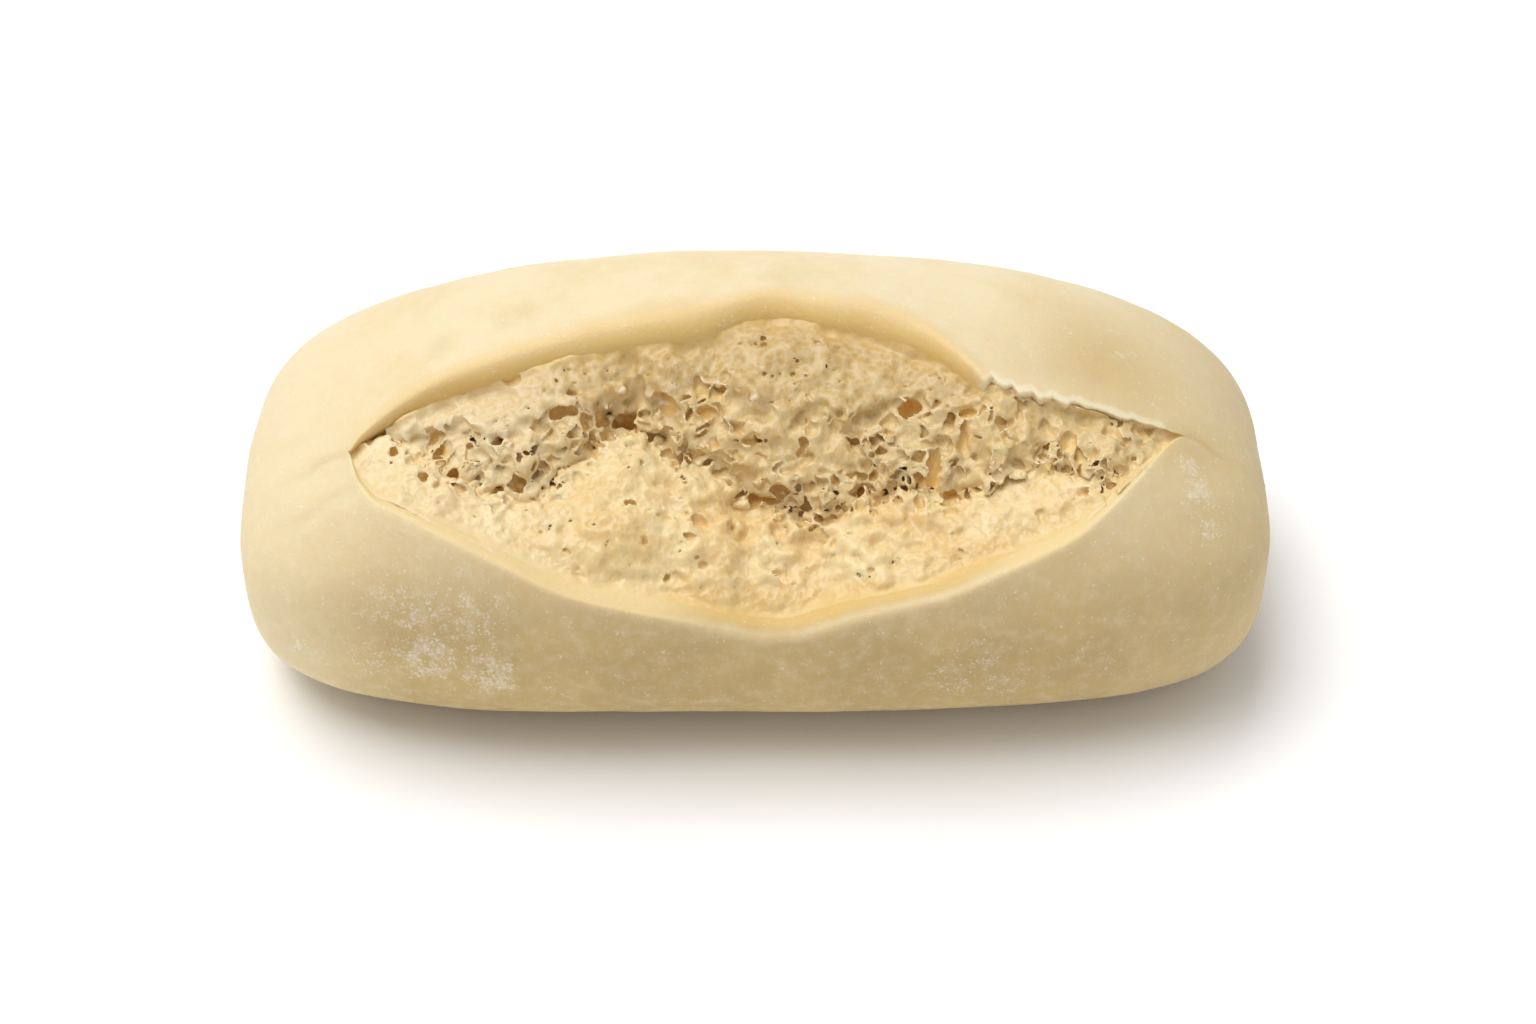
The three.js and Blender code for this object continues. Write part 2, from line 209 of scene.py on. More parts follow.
def tearDepth(x, angle, low, high, crevice, torn, opened):
    # how deep the torn crumb lies under the unbroken skin. The bed falls away from the lower lip, the wall from
    # the upper one, and the wall drops by one more step below its torn line. Under the lips it dives out of sight.
    crevice = np.clip(crevice, low, high)
    edge = np.minimum(1, 2 * opened)
    fromLow = (angle - low) * arcPerDegree
    fromHigh = (high - angle) * arcPerDegree
    bedShare = np.clip((angle - low) / np.maximum(crevice - low, 1e-3), 0, 1)
    wallShare = np.clip((high - angle) / np.maximum(high - crevice, 1e-3), 0, 1)
    bed = split["lowerStep"] * edge * ease(fromLow / split["stepWidth"])
    bed = bed + split["bedFall"] * opened**2 * bedShare ** split["bedCurve"]
    upperStep = between(split["upperStep"], tornShare(x))
    wall = upperStep * edge * (0.55 + 0.45 * np.clip(fromHigh / split["stepWidth"], -1, 1))
    wall = wall + split["wallFall"] * opened**2 * wallShare ** split["wallCurve"]
    belowTorn = ease((torn - angle) * arcPerDegree / split["tornWidth"] + 0.5)
    wall = wall + split["tornStep"] * (1 - split["tornStepLoss"] * tornShare(x)) * edge * belowTorn
    bed = np.maximum(bed, between(split["lowerSkin"], smoothShare(x)))
    wall = np.maximum(wall, split["tornSkin"])
    hidden = np.maximum(-fromLow, -fromHigh)
    return np.where(angle < crevice, bed, wall) + np.maximum(hidden, 0) * split["underLips"]


# Crumb

crumb = {
    "voxel": [0.22, 0.40],
    "low": [-57.0, -36.0, 19.0],  # corners of the box that holds the torn crumb
    "high": [60.5, 6.0, 49.5],
    "lipCover": 1.6,  # how far the crumb runs on under the lips
    "upperFade": [1.3, 0.3],  # relief dies away this near the rounded upper lip, and this near the thin torn one
    "lowerFade": [0.9, 2.6],  # the same at the lower lip, where it is rough and where it is smooth
    "relief": [[5.5, 0.6], [1.9, 0.34], [0.75, 0.13]],  # puffs, crags and grains: spacing, height
    "calmCrags": 0.6,  # their share on the bed and above the torn line
    "lipGrains": 0.35,  # the grains' share right at the lips
    "jagSpacing": 1.1,
    "tornJag": 1.6,  # degrees by which the torn line and the crevice wander
    "creviceJag": 3.2,
    "warpSpacing": 0.9,
    "warp": 0.20,  # how far pore outlines wander
    "seed": 20,
    "heart": [2.0, 6.0, 14.0],  # the hidden point at which the crumb is closed
    "sharpFrom": 55.0,  # degrees between faces from which their edge stays sharp
    "mostTriangles": 197000,
}

# Pores that show most: [place along the roll, angle, half length, half height, depth, and how high the centre lies
# above the surface]
bigPores = [
    [20.4, 71.8, 1.6, 1.8, 2.4, -1.1], [17.4, 67.9, 1.3, 1.0, 1.2, -0.1], [-25.5, 71.8, 2.2, 1.35, 1.5, -0.2],
    [-24.9, 68.9, 0.6, 0.55, 0.9, -0.8], [-16.2, 72.5, 2.4, 1.2, 2.6, -1.0], [-20.6, 70.7, 1.6, 1.0, 1.8, -0.6],
    [-12.2, 74.3, 2.4, 1.7, 1.4, -0.1], [-5.0, 79.0, 2.0, 1.1, 0.9, 0.1], [-32.9, 80.9, 1.9, 0.85, 0.8, 0.1],
    [-38.8, 78.9, 0.8, 0.5, 0.8, 0.0], [-10.2, 17.4, 1.6, 1.15, 1.1, 0.2], [-11.4, 16.5, 0.65, 0.6, 1.2, -0.7],
    [-6.8, 19.5, 0.5, 0.5, 0.8, -0.2], [-2.9, 13.3, 0.5, 0.45, 0.8, -0.3], [3.3, 14.7, 1.1, 0.95, 0.7, 0.2],
    [-7.2, 32.7, 1.3, 1.0, 1.1, -0.1], [-8.5, 28.3, 0.9, 0.6, 0.7, 0.1], [23.6, 51.6, 1.25, 2.7, 1.6, -0.4],
    [27.6, 62.0, 0.95, 2.9, 1.4, -0.3], [0.7, 62.1, 0.8, 0.75, 1.5, -0.7], [6.2, 59.2, 0.6, 1.3, 1.4, -0.5],
    [37.3, 39.0, 0.5, 0.95, 1.2, -0.5], [36.8, 36.0, 0.62, 0.6, 1.0, -0.4], [47.0, 68.5, 1.3, 1.9, 1.2, -0.2],
    [38.9, 66.9, 0.9, 1.3, 1.2, -0.3], [34.7, 69.5, 0.7, 1.5, 1.3, -0.3], [36.2, 73.3, 0.9, 0.9, 1.1, -0.2],
    [39.8, 72.6, 1.2, 0.9, 1.2, -0.3], [43.2, 70.6, 0.9, 1.2, 1.2, -0.3], [41.2, 63.6, 1.3, 1.5, 1.4, -0.4],
    [50.6, 71.2, 0.8, 0.8, 1.0, -0.2], [-39.2, 53.4, 1.3, 0.8, 1.5, -0.6], [-16.4, 40.3, 0.9, 0.6, 1.1, -0.4],
    [-30.0, 22.0, 1.6, 0.8, 0.6, 0.1], [-43.7, 53.7, 0.9, 0.7, 0.9, -0.1], [-45.4, 65.6, 0.8, 0.6, 0.9, -0.3],
]

# Scattered pores, by where they lie: how many for each square millimetre, radii, how much rarer large ones are,
# how far they are drawn out round the roll, and how high their centres lie in shares of their radius
poreZone = {"along": [-52.0, 54.5], "round": [5, 95], "closedSize": 0.45, "deep": [0.8, 1.3], "lean": 12}
scatteredPores = {
    "calmWall": {"density": 0.85, "radius": [0.16, 0.42], "rare": 2.6, "stretch": [0.9, 1.3], "lift": [0.1, 0.7]},
    "bed": {"density": 0.30, "radius": [0.16, 0.50], "rare": 2.8, "stretch": [0.8, 1.2], "lift": [-0.2, 0.5]},
    "bedEdge": {"density": 0.90, "radius": [0.28, 0.75], "rare": 1.5, "stretch": [1.0, 2.0], "lift": [-0.2, 0.5]},
}

# The torn wall is a foam: each point belongs to the nearest of many scattered centres, thin skins stay between the
# cells, and the cells that the tear runs through are hollow.
foam = {
    "size": [1.9, 3.0, 1.8],  # of a mean cell: along, round and into the roll
    "skin": 0.36,
    "variety": 0.50,  # how much larger the largest cells are, in cell sizes
    "reach": 0.55,  # cells are rounded off this far from their centres, in cell sizes
    "openTo": 0.55,  # a cell is hollow if its centre lies no deeper than this under the tear
    "openToBed": -0.1,
    "bedEdge": 5.0,  # degrees of the bed that belong to the foam
    "leastOpen": 0.1,  # share of the widest opening from which cells are hollow
    "tornGap": 0.3,  # degrees by which hollow centres keep below the torn line
    "lowGap": 3.0,  # and above the lower lip
    "heights": [-0.5, 2.75],  # under the tear, between which points can lie in a hollow cell
    "margin": 3.0,  # the same round the roll, in degrees past the outermost centres
    "wander": 0.30,
    "sites": [100, 36, 24],
    "firstSite": [50, 4, 4],
    "seed": 7,
}

creviceHoles = {
    "spacing": 2.3,
    "halfLength": [0.5, 1.8],
    "halfHeight": [0.5, 1.1],
    "depth": [0.7, 2.0],
    "rise": 25.0,  # degrees, up under the wall
    "lean": 8,
    "sink": 0.45,  # share of its depth at which a hole's centre lies
    "closed": [0.3, 0.5],  # shares of the depth and the size that are left where the split ends
    "scatter": 0.6,
    "above": [0.2, 2.6],  # degrees between the crevice and a hole's centre
}


# Where the crumb's tones lie. A pair is a range in millimetres over which a tone comes in.
tones = {
    "tornFree": 2.0,  # by which the torn lip counts as further away than it is
    "lowerGroove": 3.4,  # width of the golden groove behind the lip, its colour painted shade
    "upperGroove": 2.4,
    "roughGroove": [0.2, 1.0],  # its strength where the lower lip is rough, and smooth
    "shadedWallFrom": [-40.0, -22.0],
    "wallEdge": 1.6,
    "mostSoft": 0.6,  # light sinks into the bed, but not beside the lips, into the wall or in pits
    "softFromLip": [0.8, 2.6],
    "softFromCrevice": [1.25, 3.75],
    "softPit": [0.0, 0.4],
    "mostPale": 0.4,
    "paleFrom": [-20.0, -38.0],
    "flakePlace": 0.3,  # pale flakes along the torn line, at the left
    "flakeWidth": 0.6,
    "flakeFrom": [8.0, 0.0],
    "flakeRise": 0.03,
}


def volumeNoise(axes, spacing, seed):
    # smooth noise on a box of points, about 1 in size: random values on a coarse lattice, spread along each axis
    # in turn by the four cubic B-spline weights
    spread = []
    for axis in axes:
        place = (axis - axis[0]) / spacing
        cell = np.floor(place).astype(int)
        t = place - cell
        weights = np.zeros((len(axis), cell.max() + 4), np.float32)
        row = np.arange(len(axis))
        weights[row, cell] = (1 - t) ** 3 / 6
        weights[row, cell + 1] = (3 * t**3 - 6 * t**2 + 4) / 6
        weights[row, cell + 2] = (-3 * t**3 + 3 * t**2 + 3 * t + 1) / 6
        weights[row, cell + 3] = t**3 / 6
        spread.append(weights)
    rng = np.random.default_rng(seed)
    values = rng.uniform(-1, 1, [w.shape[1] for w in spread]).astype(np.float32)
    for weights in spread:
        values = np.tensordot(values, weights, axes=([0], [1]))
    return values / 0.19


def solidField(axes):
    # how far each point of the box lies under the torn surface, in millimetres: positive in the crumb. A point's
    # angle and depth come from undoing the rounded section: its share of the full section gives how far in it is
    x = axes[0][:, None, None].astype(np.float32)
    y = axes[1][None, :, None].astype(np.float32)
    z = axes[2][None, None, :].astype(np.float32)
    front, back, above = (size[:, None, None].astype(np.float32) for size in halfSizes(axes[0])[:3])
    power = roll["upperSection"]
    across = np.abs(y) / np.where(y < 0, front, back)
    up = np.maximum(z - roll["axisHeight"], 0) / above
    share = np.maximum((across**power + up**power) ** (1 / power), 1e-4)
    angle = np.degrees(np.arctan2((up / share) ** (power / 2), -np.sign(y) * (across / share) ** (power / 2)))
    depth = np.hypot(y, z - roll["axisHeight"]) * (1 / share - 1)
    low, high, crevice, torn = gridLines(axes[0])
    jagged = volumeNoise(axes, crumb["jagSpacing"], crumb["seed"] + 9)
    opened = openness(axes[0])[:, None, None].astype(np.float32)
    crevice = crevice + jagged * crumb["creviceJag"] * opened
    tear = tearDepth(x, angle, low, high, crevice, torn + jagged * crumb["tornJag"], opened)
    upperFade = between(crumb["upperFade"], tornShare(x))
    lowerFade = between(crumb["lowerFade"], smoothShare(x))
    lipFade = ease((angle - low) * arcPerDegree / lowerFade) * ease((high - angle) * arcPerDegree / upperFade)
    puffs, crags, grains = (
        volumeNoise(axes, spacing, crumb["seed"] + i) * height
        for i, (spacing, height) in enumerate(crumb["relief"])
    )
    rough = ease((angle - crevice) * arcPerDegree) * ease((torn - angle) * arcPerDegree / 2 + 1)
    crags = crags * (crumb["calmCrags"] + (1 - crumb["calmCrags"]) * rough)
    tear = tear + (puffs + crags) * lipFade + grains * (crumb["lipGrains"] + (1 - crumb["lipGrains"]) * lipFade)
    return (depth - tear).astype(np.float32), angle.astype(np.float32), depth.astype(np.float32)


def surfaceFrames(x, angle, lift):
    # places on the torn surface and the directions out of it and round the roll towards the crown
    low, high, crevice, torn = splitLines(x)
    y, z = wholeSkin(x, angle)
    z = z - roll["axisHeight"]
    radius = np.hypot(y, z)
    sunk = tearDepth(x, angle, low, high, crevice, torn, openness(x)) - lift
    out = np.stack([0 * x, y / radius, z / radius], -1)
    up = np.stack([0 * x, out[:, 2], -out[:, 1]], -1)
    centre = np.stack([x, y * (1 - sunk / radius), z * (1 - sunk / radius) + roll["axisHeight"]], -1)
    return centre, out, up


def poreTable():
    # every pore as a centre, three axes and three radii, in a seeded order
    rng = np.random.default_rng(crumb["seed"] + 3)
    centres, axes, radii = [], [], []

    def add(x, angle, lift, halfLength, halfHeight, depth, rise=0.0, lean=0.0):
        centre, out, up = surfaceFrames(x, angle, lift)
        along = np.tile([1.0, 0, 0], (len(x), 1))
        lean = np.radians(np.broadcast_to(lean, x.shape))[:, None]
        rise = np.radians(np.broadcast_to(rise, x.shape))[:, None]
        long = up * np.cos(lean) + along * np.sin(lean)
        side = along * np.cos(lean) - up * np.sin(lean)
        inward = -out * np.cos(rise) + long * np.sin(rise)
        long = long * np.cos(rise) + out * np.sin(rise)
        centres.append(centre)
        axes.append(np.stack([side, long, inward], 1))
        radii.append(np.stack([halfLength, halfHeight, depth], 1))

    table = np.array(bigPores)
    add(table[:, 0], table[:, 1], table[:, 5], table[:, 2], table[:, 3], table[:, 4])

    first, last = poreZone["along"]
    lowest, highest = poreZone["round"]
    for name, kind in scatteredPores.items():
        count = int((last - first) * (highest - lowest) * arcPerDegree * kind["density"])
        x = rng.uniform(first, last, count)
        angle = rng.uniform(lowest, highest, count)
        low, high, crevice, torn = splitLines(x)
        crevice = np.clip(crevice, low, high)
        inside = {
            "calmWall": (angle > torn + 1) & (angle < high - 4),
            "bed": (angle > low + 4) & (angle < crevice - 4),
            "bedEdge": (angle > crevice - 4.5) & (angle < crevice) & (angle > low + 3),
        }[name]
        x, angle = x[inside], angle[inside]
        count = len(x)
        least, most = kind["radius"]
        radius = least + (most - least) * rng.random(count) ** kind["rare"]
        radius = radius * (poreZone["closedSize"] + (1 - poreZone["closedSize"]) * openness(x))
        stretch = rng.uniform(*kind["stretch"], count)
        lift = rng.uniform(*kind["lift"], count) * radius
        deep = radius * rng.uniform(*poreZone["deep"], count)
        add(x, angle, lift, radius, radius * stretch, deep, 0, rng.normal(0, poreZone["lean"], count))

    holes = creviceHoles
    count = int((last - first) / holes["spacing"])
    x = np.linspace(first, last, count) + rng.uniform(-holes["scatter"], holes["scatter"], count)
    opened = openness(x)
    shallow, small = holes["closed"]
    depth = between(holes["depth"], rng.random(count)) * (shallow + (1 - shallow) * opened)
    low, high, crevice, torn = splitLines(x)
    angle = np.clip(crevice, low, high) + rng.uniform(*holes["above"], count)
    halfLength, halfHeight = (
        between(holes[name], rng.random(count)) * (small + (1 - small) * opened)
        for name in ("halfLength", "halfHeight")
    )
    lean = rng.normal(0, holes["lean"], count)
    add(x, angle, -holes["sink"] * depth, halfLength, halfHeight, depth, holes["rise"], lean)
    return np.concatenate(centres), np.concatenate(axes), np.concatenate(radii)


def carveFoam(field, angle, depth, axes, wander):
    # hollows out the cells of the torn wall. A point's place in its cell follows from its distances to the nearest
    # and second nearest centres: half of their difference is how far it lies from the skin between the two.
    low, high, crevice, torn = gridLines(axes[0])
    crevice = np.clip(crevice, low, high)
    least, most = foam["heights"]
    zone = (field > least) & (field < most) & (angle < np.minimum(torn, high + 1) + foam["margin"])
    zone &= (angle > crevice - foam["bedEdge"] - foam["margin"]) & (angle > low)
    at = np.nonzero(zone)
    size = np.array(foam["size"])
    place = np.stack([axes[0][at[0]], angle[at] * arcPerDegree, depth[at]], 1)
    place = (place + np.stack([w[at] for w in wander], 1) * foam["wander"] / crumb["warp"]) / size
    firstSite = np.array(foam["firstSite"])

    rng = np.random.default_rng(foam["seed"])
    lattice = np.stack(np.meshgrid(*(np.arange(n) for n in foam["sites"]), indexing="ij"), -1)
    centre = lattice - firstSite + rng.uniform(0.05, 0.95, lattice.shape)
    bonus = foam["variety"] * rng.random(foam["sites"]) ** 2
    x, arc, deep = np.moveaxis(centre * size, -1, 0)
    around = arc / arcPerDegree
    low, high, crevice, torn = splitLines(x)
    crevice = np.clip(crevice, low, high)
    opened = openness(x)
    under = deep - tearDepth(x, around, low, high, crevice, torn, opened)
    hollow = (around > crevice) & (around < np.minimum(torn - foam["tornGap"], high + 1))
    hollow &= under < foam["openTo"]
    onBed = (around <= crevice) & (around > crevice - foam["bedEdge"]) & (around > low + foam["lowGap"])
    hollow |= onBed & (under < foam["openToBed"])
    hollow &= opened > foam["leastOpen"]

    home = np.floor(place).astype(int)
    nearest, second = np.full(len(home), 9.0), np.full(len(home), 9.0)
    nearestHollow, secondHollow = np.zeros(len(home), bool), np.zeros(len(home), bool)
    for i, j, k in np.ndindex(3, 3, 3):
        site = np.clip(home + [i - 1, j - 1, k - 1] + firstSite, 0, np.array(foam["sites"]) - 1)
        site = tuple(site.T)
        away = np.linalg.norm(place - centre[site], axis=1) - bonus[site]
        first = away < nearest
        later = ~first & (away < second)
        secondHollow = np.where(first, nearestHollow, np.where(later, hollow[site], secondHollow))
        second = np.where(first, nearest, np.where(later, away, second))
        nearestHollow = np.where(first, hollow[site], nearestHollow)
        nearest = np.where(first, away, nearest)
    scale = size.mean()
    toSkin = (second - nearest) * scale / 2
    inside = np.maximum(foam["skin"] / 2 - toSkin, (nearest - foam["reach"]) * scale)
    beside = foam["skin"] / 2 + toSkin
    solid = np.where(nearestHollow, inside, np.where(secondHollow, beside, 9.0))
    field[at] = np.minimum(field[at], solid)
    return len(home)


def carvePores(field, axes, step, wander):
    # takes each pore out of the field: the field becomes the least of itself and the distance outside an
    # ellipsoid, whose outline wanders with a fine noise
    centres, directions, radii = poreTable()
    origin = np.array([axis[0] for axis in axes])
    shape = np.array(field.shape)
    reach = radii.max(1) + crumb["warp"] * 3 + step
    first = np.clip(np.floor((centres - reach[:, None] - origin) / step).astype(int), 0, shape - 1)
    last = np.clip(np.ceil((centres + reach[:, None] - origin) / step).astype(int) + 1, 1, shape)
    for n in range(len(centres)):
        block = tuple(slice(a, b) for a, b in zip(first[n], last[n]))
        if min(field[block].shape) == 0:
            continue
        at = np.stack(np.meshgrid(*(axis[s] for axis, s in zip(axes, block)), indexing="ij"), -1) - centres[n]
        at = at + np.stack([w[block] for w in wander], -1)
        scaled = at @ directions[n].T / radii[n]
        size = np.maximum(np.linalg.norm(scaled, axis=-1), 1e-4)
        pull = np.maximum(np.linalg.norm(scaled / radii[n], axis=-1), 1e-4)
        field[block] = np.minimum(field[block], size * (size - 1) / pull)
    return len(centres)


def surfaceNet(field, axes, step):
    # a mesh of the surface where the field is zero: one vertex in each cell that the surface crosses, at the mean
    # of the crossings of its edges, and one four-sided face round each grid edge whose ends differ in sign
    solid = field > 0
    size = np.array(field.shape) - 1
    count = np.zeros(size, np.uint8)
    corners = np.array([(i, j, k) for i in (0, 1) for j in (0, 1) for k in (0, 1)])
    for i, j, k in corners:
        count += solid[i:size[0] + i, j:size[1] + j, k:size[2] + k]
    crossed = (count > 0) & (count < 8)
    cells = np.argwhere(crossed)
    index = np.full(size, -1, np.int32)
    index[crossed] = np.arange(len(cells))
    values = np.stack([field[tuple((cells + corner).T)] for corner in corners], 1)
    total = np.zeros((len(cells), 3))
    hits = np.zeros(len(cells))
    for a in range(8):
        for b in range(a + 1, 8):
            if np.abs(corners[a] - corners[b]).sum() != 1:
                continue
            cut = (values[:, a] > 0) != (values[:, b] > 0)
            share = np.where(cut, values[:, a] / np.where(cut, values[:, a] - values[:, b], 1), 0)
            total += cut[:, None] * (corners[a] + share[:, None] * (corners[b] - corners[a]))
            hits += cut
    points = np.array([axis[0] for axis in axes]) + step * (cells + total / hits[:, None])
    faces = []
    for axis in range(3):
        one, two = (axis + 1) % 3, (axis + 2) % 3
        edges = np.argwhere(np.diff(solid, axis=axis))
        pair = edges[:, [one, two]]
        edges = edges[((pair > 0) & (pair < size[[one, two]])).all(1)]
        ring = []
        for stepOne, stepTwo in ((-1, -1), (0, -1), (0, 0), (-1, 0)):
            cell = edges.copy()
            cell[:, one] += stepOne
            cell[:, two] += stepTwo
            ring.append(index[tuple(cell.T)])
        quads = np.stack(ring, 1)
        outward = solid[tuple(edges.T)]  # the solid end comes first, so the face looks along the axis
        quads[~outward] = quads[~outward][:, ::-1]
        faces.append(quads)
    return points, np.concatenate(faces)


def largestPart(pointCount, faces):
    # keeps the faces of the largest connected part: each point takes the least number among those it is joined to
    edges = np.concatenate([faces[:, [0, 1]], faces[:, [1, 2]], faces[:, [2, 3]]])
    label = np.arange(pointCount)
    while True:
        least = np.minimum(label[edges[:, 0]], label[edges[:, 1]])
        before = label.copy()
        np.minimum.at(label, label[edges[:, 0]], least)
        np.minimum.at(label, label[edges[:, 1]], least)
        label = label[label]
        if (label == before).all():
            break
    sizes = np.bincount(label[faces[:, 0]])
    return faces[label[faces[:, 0]] == sizes.argmax()]


def closed(points, faces, heart):
    # closes an open sheet: each edge that has one face gets a triangle to a hidden point. Unused points go.
    used = np.unique(faces)
    renumber = np.full(len(points), -1)
    renumber[used] = np.arange(len(used))
    faces = renumber[faces]
    points = points[used]
    sides = np.concatenate([faces[:, [i, (i + 1) % 4]] for i in range(4)])
    key = sides[:, 0].astype(np.int64) * len(points) + sides[:, 1]
    back = sides[:, 1].astype(np.int64) * len(points) + sides[:, 0]
    rim = sides[~np.isin(key, back)]
    fan = np.stack([rim[:, 1], rim[:, 0], np.full(len(rim), len(points))], 1)
    return np.concatenate([points, [heart]]), faces, fan, used


def ridges(points, faces):
    # how far each point stands out of its neighbours' mean, in millimetres, along the surface's own direction
    sides = np.concatenate([faces[:, [i, (i + 1) % 4]] for i in range(4)])
    count = np.bincount(sides[:, 0], minlength=len(points)) + 1e-9
    mean = np.stack([np.bincount(sides[:, 0], points[sides[:, 1], i], len(points)) for i in range(3)], 1)
    mean = mean / count[:, None]
    one = points[faces[:, 2]] - points[faces[:, 0]]
    two = points[faces[:, 3]] - points[faces[:, 1]]
    normal = np.cross(one, two)
    total = np.zeros_like(points)
    for i in range(4):
        for axis in range(3):
            total[:, axis] += np.bincount(faces[:, i], normal[:, axis], len(points))
    total /= np.maximum(np.linalg.norm(total, axis=1), 1e-9)[:, None]
    return ((points - mean) * total).sum(1)


def addObject(name, data):
    thing = bpy.data.objects.new(name, data)
    bpy.context.scene.collection.objects.link(thing)
    return thing


def meshObject(name, points, quads, triangles=()):
    # points in millimetres, faces by number, all set in one go
    mesh = bpy.data.meshes.new(name)
    points = np.asarray(points) / 1000
    loops = np.concatenate([np.ravel(quads), np.ravel(triangles)]).astype(np.int32)
    sizes = np.concatenate([np.full(len(quads), 4), np.full(len(triangles), 3)]).astype(np.int32)
    mesh.vertices.add(len(points))
    mesh.vertices.foreach_set("co", points.ravel().astype(np.float32))
    mesh.loops.add(len(loops))
    mesh.loops.foreach_set("vertex_index", loops)
    mesh.polygons.add(len(sizes))
    mesh.polygons.foreach_set("loop_start", np.concatenate([[0], np.cumsum(sizes)[:-1]]).astype(np.int32))
    mesh.polygons.foreach_set("use_smooth", np.ones(len(sizes), bool))
    mesh.update(calc_edges=True)
    mesh.validate()
    return addObject(name, mesh)


def paint(piece, layers, last):
    # named values for the points, and what the points added at the end get
    for name, values in layers.items():
        layer = piece.data.attributes.new(name, "FLOAT", "POINT")
        layer.data.foreach_set("value", np.append(values.ravel(), last).astype(np.float32))


def makeCrumb():
    step = crumb["voxel"][0]
    axes = [np.arange(low, high, step) for low, high in zip(crumb["low"], crumb["high"])]
    field, angle, depth = solidField(axes)
    base = field.copy()
    wander = [volumeNoise(axes, crumb["warpSpacing"], crumb["seed"] + 4 + i) * crumb["warp"] for i in range(3)]
    foamed = carveFoam(field, angle, depth, axes, wander)
    report(f"foam carved through {foamed} points")
    report(f"crumb field of {field.size / 1e6:.1f} million points")
    count = carvePores(field, axes, step, wander)
    report(f"{count} pores carved")
    points, faces = surfaceNet(field, axes, step)
    report(f"crumb surface of {len(faces)} faces")

    def sample(grid):
        place = (points - [axis[0] for axis in axes]) / step
        cell = np.clip(np.round(place).astype(int), 0, np.array(grid.shape) - 1)
        return grid[tuple(cell.T)]

    pointAngle = sample(angle)
    pit = sample(base)
    along = points[:, 0]
    low, high, crevice, torn = splitLines(along)
    cover = crumb["lipCover"] / arcPerDegree
    kept = (pointAngle > low - cover) & (pointAngle < high + cover)
    kept &= (along > axes[0][2]) & (along < axes[0][-3])
    faces = faces[kept[faces].all(1)]
    faces = largestPart(len(points), faces)
    fromLow, fromHigh = (pointAngle - low) * arcPerDegree, (high - pointAngle) * arcPerDegree
    fromTorn, fromCrevice = (pointAngle - torn) * arcPerDegree, (pointAngle - crevice) * arcPerDegree
    nearLip = np.minimum(fromLow, fromHigh + tones["tornFree"] * tornShare(along))
    # painted shade: a golden groove behind each lip, where the lip shades the crumb
    groove = ease(1 - fromLow / tones["lowerGroove"]) * between(tones["roughGroove"], smoothShare(along))
    groove = np.maximum(groove, ease(1 - fromHigh / tones["upperGroove"]) * (1 - tornShare(along)))
    # painted shade: the wall of crumb faces the front, away from the light, under the upper lip
    above = ease(0.5 + fromTorn) * over(tones["shadedWallFrom"], along)
    wall = ease(fromCrevice / tones["wallEdge"]) * (0.5 + 0.5 * above)
    soft = tones["mostSoft"] * over(tones["softFromLip"], nearLip) * over(tones["softFromCrevice"], -fromCrevice)
    soft = soft * (1 - over(tones["softPit"], pit))
    pale = tones["mostPale"] * over(tones["paleFrom"], along)
    flake = np.exp(-(((fromTorn - tones["flakePlace"]) / tones["flakeWidth"]) ** 2))
    ridge = ridges(points, faces) + tones["flakeRise"] * flake * over(tones["flakeFrom"], along)
    shown, quads, fan, used = closed(points, faces, crumb["heart"])
    whole = meshObject("crumb_whole", shown, quads, fan)
    paint(whole, {"ridge": ridge[used], "groove": groove[used], "wall": wall[used], "soft": soft[used],
                  "pale": pale[used], "pit": pit[used], "nearLip": nearLip[used]}, [0])
    triangles = len(quads) * 2 + len(fan)
    thinning = whole.modifiers.new("thinning", "DECIMATE")
    thinning.ratio = min(1, crumb["mostTriangles"] / triangles)
    thinned = bpy.data.meshes.new_from_object(whole.evaluated_get(bpy.context.evaluated_depsgraph_get()))
    bpy.data.meshes.remove(whole.data)
    thinned.name = "torn_crumb"
    thinned.polygons.foreach_set("use_smooth", np.ones(len(thinned.polygons), bool))
    thinned.set_sharp_from_angle(angle=math.radians(crumb["sharpFrom"]))
    thinned.calc_loop_triangles()
    report(f"torn_crumb: {triangles} triangles thinned to {len(thinned.loop_triangles)}")
    return addObject("torn_crumb", thinned)


# Crust

